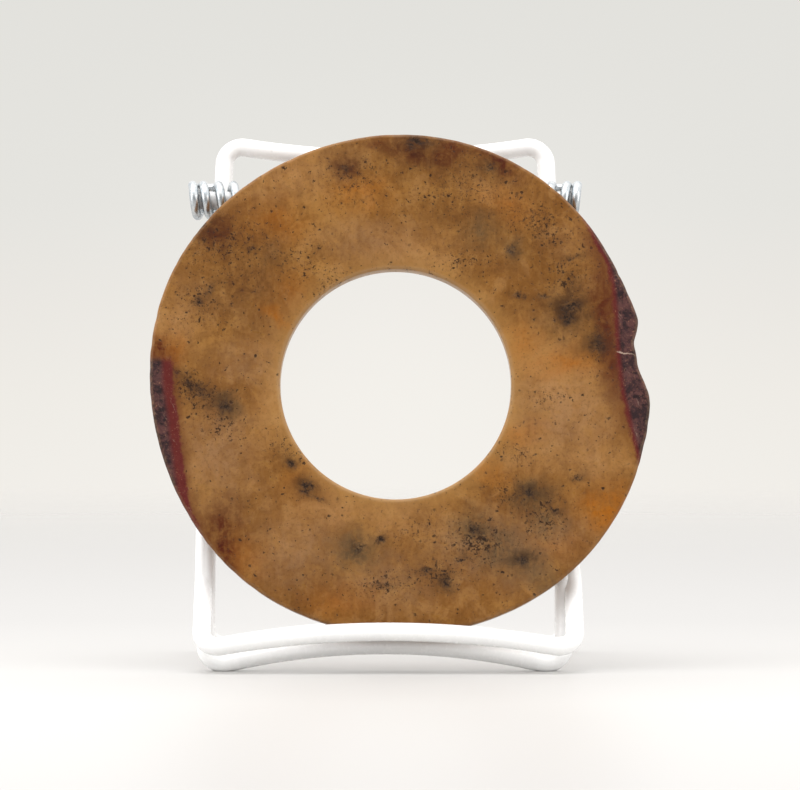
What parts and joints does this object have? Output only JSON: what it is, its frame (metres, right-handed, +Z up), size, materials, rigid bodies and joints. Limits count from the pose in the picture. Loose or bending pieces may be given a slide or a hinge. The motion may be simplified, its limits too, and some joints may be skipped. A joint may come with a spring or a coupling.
{
  "type": "stone ring on display stand",
  "caption": "Flat round stone disc with a round hole and a chipped rim, standing in a folding wire display stand with coil hinges and a rear leg.",
  "frame": {"origin": "on the floor, under the middle of the whole object's box with the stand open", "axes": "+Z up, -Y out of the disc's front towards the viewer, +X to the viewer's right"},
  "size_m": [0.1094, 0.0716, 0.118],
  "materials": {
    "jade": "polished satin, mottled honey brown with a dark plum skin at both sides",
    "coated_wire": "glossy white plastic coat on steel wire",
    "spring_wire": "bright plated spring wire"
  },
  "bodies": {
    "stand": {"front_frame": "coated_wire", "jade_disc": "jade", "spring_left": "spring_wire", "spring_right": "spring_wire"},
    "leg": {"rear_leg": "coated_wire"}
  },
  "joints": [
    {"name": "leg_fold", "type": "hinge", "parent": "stand", "child": "leg", "pos_m": [0, -0.01041, 0.1036], "axis": [-1, 0, 0], "range_deg": [0, 24]}
  ]
}
